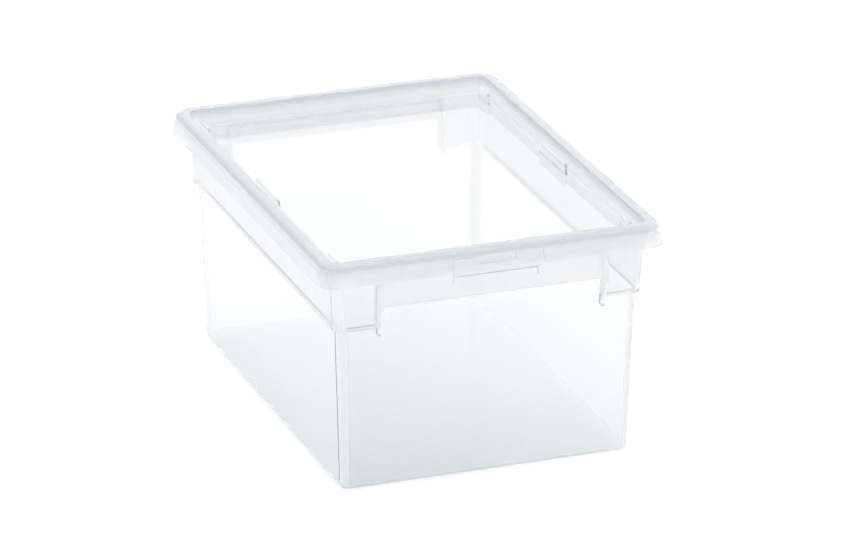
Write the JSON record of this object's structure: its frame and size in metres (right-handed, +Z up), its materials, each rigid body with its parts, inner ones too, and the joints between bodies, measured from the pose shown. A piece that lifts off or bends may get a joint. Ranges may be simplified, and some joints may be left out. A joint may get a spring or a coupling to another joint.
{
  "type": "lidded storage bin",
  "caption": "Stackable translucent storage bin: tapered tub with end hand grips and a recessed clip-down lid held by a sprung tongue at each end.",
  "frame": {"origin": "centre of the underside of the base, bin standing on it", "axes": "+Z up; Y along the long sides, the tongue called front faces -Y; X across the short sides"},
  "size_m": [0.288, 0.3964, 0.1975],
  "materials": {
    "tub_plastic": "clear polypropylene, faintly blue, smooth moulded gloss",
    "lid_plastic": "clear polypropylene, milkier where it is thick, satin gloss",
    "tongue_plastic": "same moulding as the lid, satin gloss"
  },
  "bodies": {
    "tub": {"tub": "tub_plastic"},
    "lid": {"lid": "lid_plastic"},
    "front_tongue": {"front_snap_tongue": "tongue_plastic"},
    "rear_tongue": {"rear_snap_tongue": "tongue_plastic"}
  },
  "joints": [
    {"name": "lid_lift", "type": "slide", "parent": "tub", "child": "lid", "axis": [0, 0, 1], "range_m": [0, 0.12]},
    {"name": "front_tongue_flex", "type": "hinge", "parent": "lid", "child": "front_tongue", "pos_m": [0, -0.19493, 0.1915], "axis": [-1, 0, 0], "range_deg": [0, 20], "stiffness_Nm_per_rad": 0.3},
    {"name": "rear_tongue_flex", "type": "hinge", "parent": "lid", "child": "rear_tongue", "pos_m": [0, 0.19493, 0.1915], "axis": [1, 0, 0], "range_deg": [0, 20], "stiffness_Nm_per_rad": 0.3}
  ]
}
